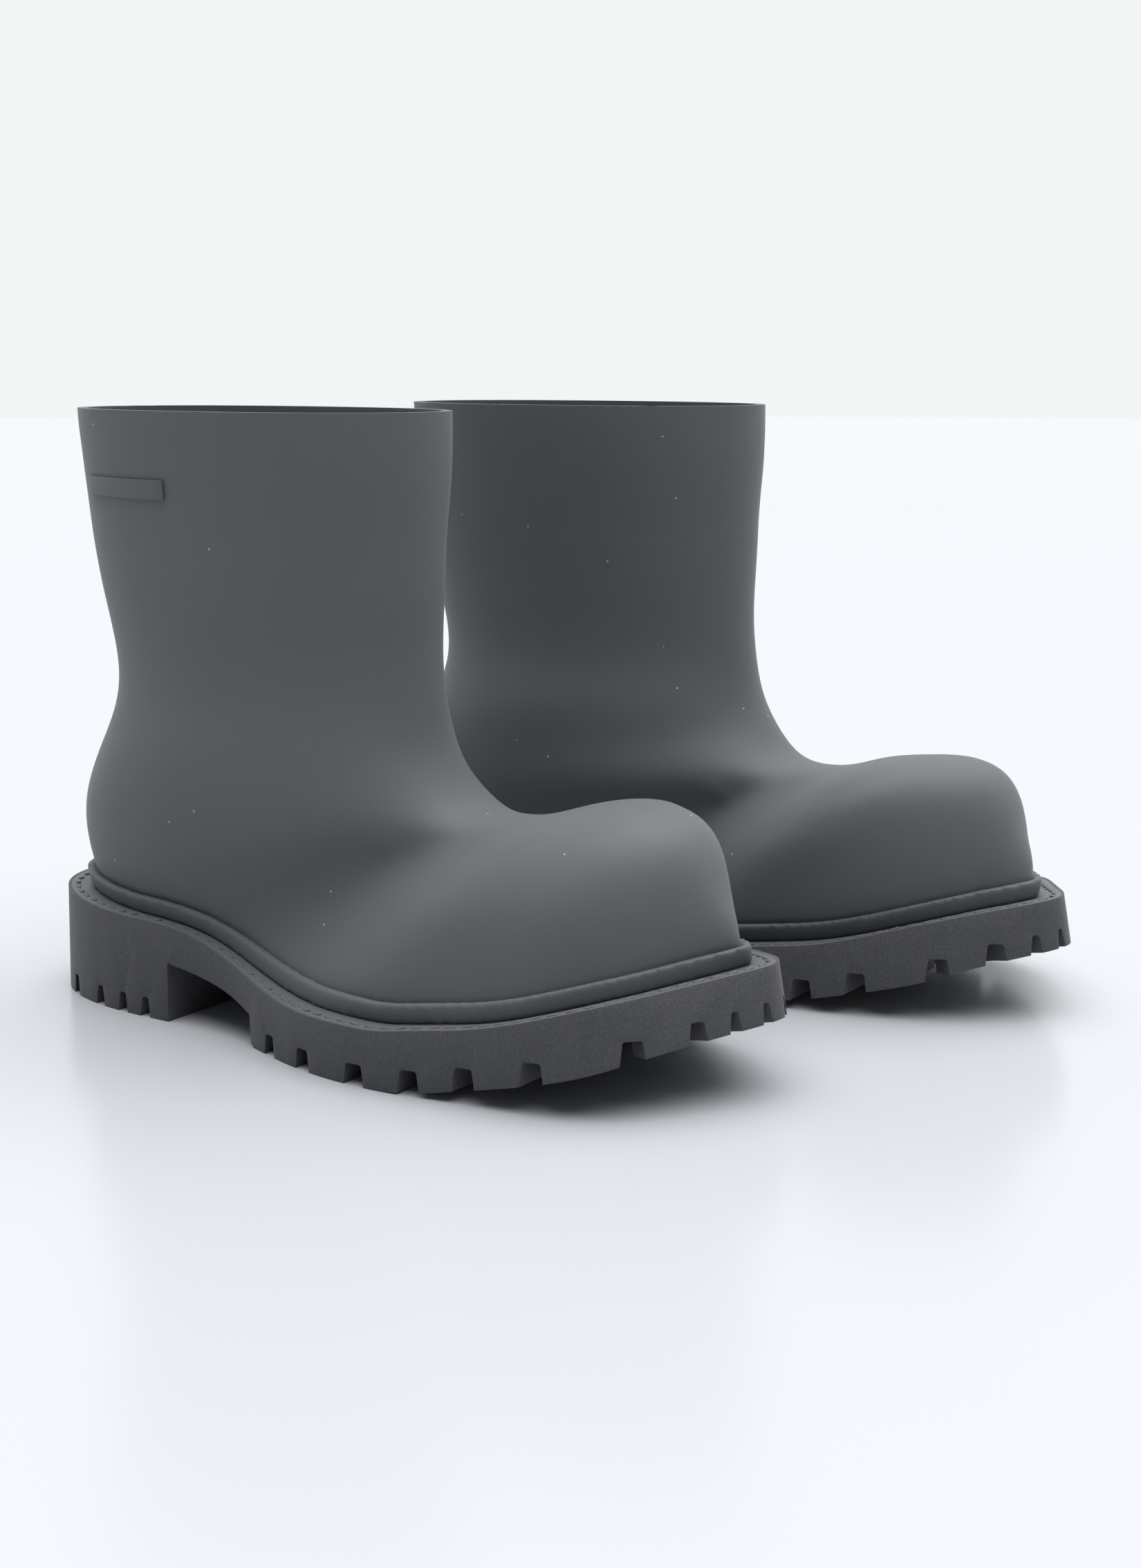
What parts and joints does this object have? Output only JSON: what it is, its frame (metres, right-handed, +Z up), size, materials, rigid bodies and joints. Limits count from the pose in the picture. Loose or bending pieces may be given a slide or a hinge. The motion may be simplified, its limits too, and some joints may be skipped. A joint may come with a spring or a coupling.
{
  "type": "pair of deck boots",
  "caption": "Pair of chunky moulded pull-on deck boots: wide smooth shaft, bulbous rounded toe, raised rand, stitched welt and thick lugged sole with toe spring and separate heel.",
  "frame": {"origin": "the middle of the pair's bounding box, on the floor", "axes": "+Z up, toes towards -Y, the right boot at -X and the left boot at +X"},
  "size_m": [0.3174, 0.3926, 0.252],
  "materials": {
    "upper_foam": "matte moulded foam with a fine powdery grain",
    "welt_foam": "matte, smooth",
    "stitch_relief": "matte moulded stitches",
    "sole_foam": "matte, fine sandy grain",
    "tread_rubber": "dull solid rubber",
    "shank_steel": "plain spring steel",
    "core_foam": "light closed-cell foam",
    "board_fibre": "pressed fibre board",
    "footbed_foam": "knit-faced foam"
  },
  "bodies": {
    "right_boot": {"right_upper_shell": "upper_foam", "right_rand": "upper_foam", "right_welt": "welt_foam", "right_welt_stitches": "stitch_relief", "right_outsole": "sole_foam", "right_tread_pad": "tread_rubber", "right_heel_pad": "tread_rubber", "right_shank": "shank_steel", "right_midsole": "core_foam", "right_insole_board": "board_fibre", "right_footbed": "footbed_foam", "right_shaft_badge": "upper_foam"},
    "left_boot": {"left_upper_shell": "upper_foam", "left_rand": "upper_foam", "left_welt": "welt_foam", "left_welt_stitches": "stitch_relief", "left_outsole": "sole_foam", "left_tread_pad": "tread_rubber", "left_heel_pad": "tread_rubber", "left_shank": "shank_steel", "left_midsole": "core_foam", "left_insole_board": "board_fibre", "left_footbed": "footbed_foam", "left_shaft_badge": "upper_foam"}
  },
  "joints": [
    {"name": "left_boot_lift", "type": "slide", "parent": "right_boot", "child": "left_boot", "axis": [0, 0, 1], "range_m": [0, 0.3]}
  ]
}
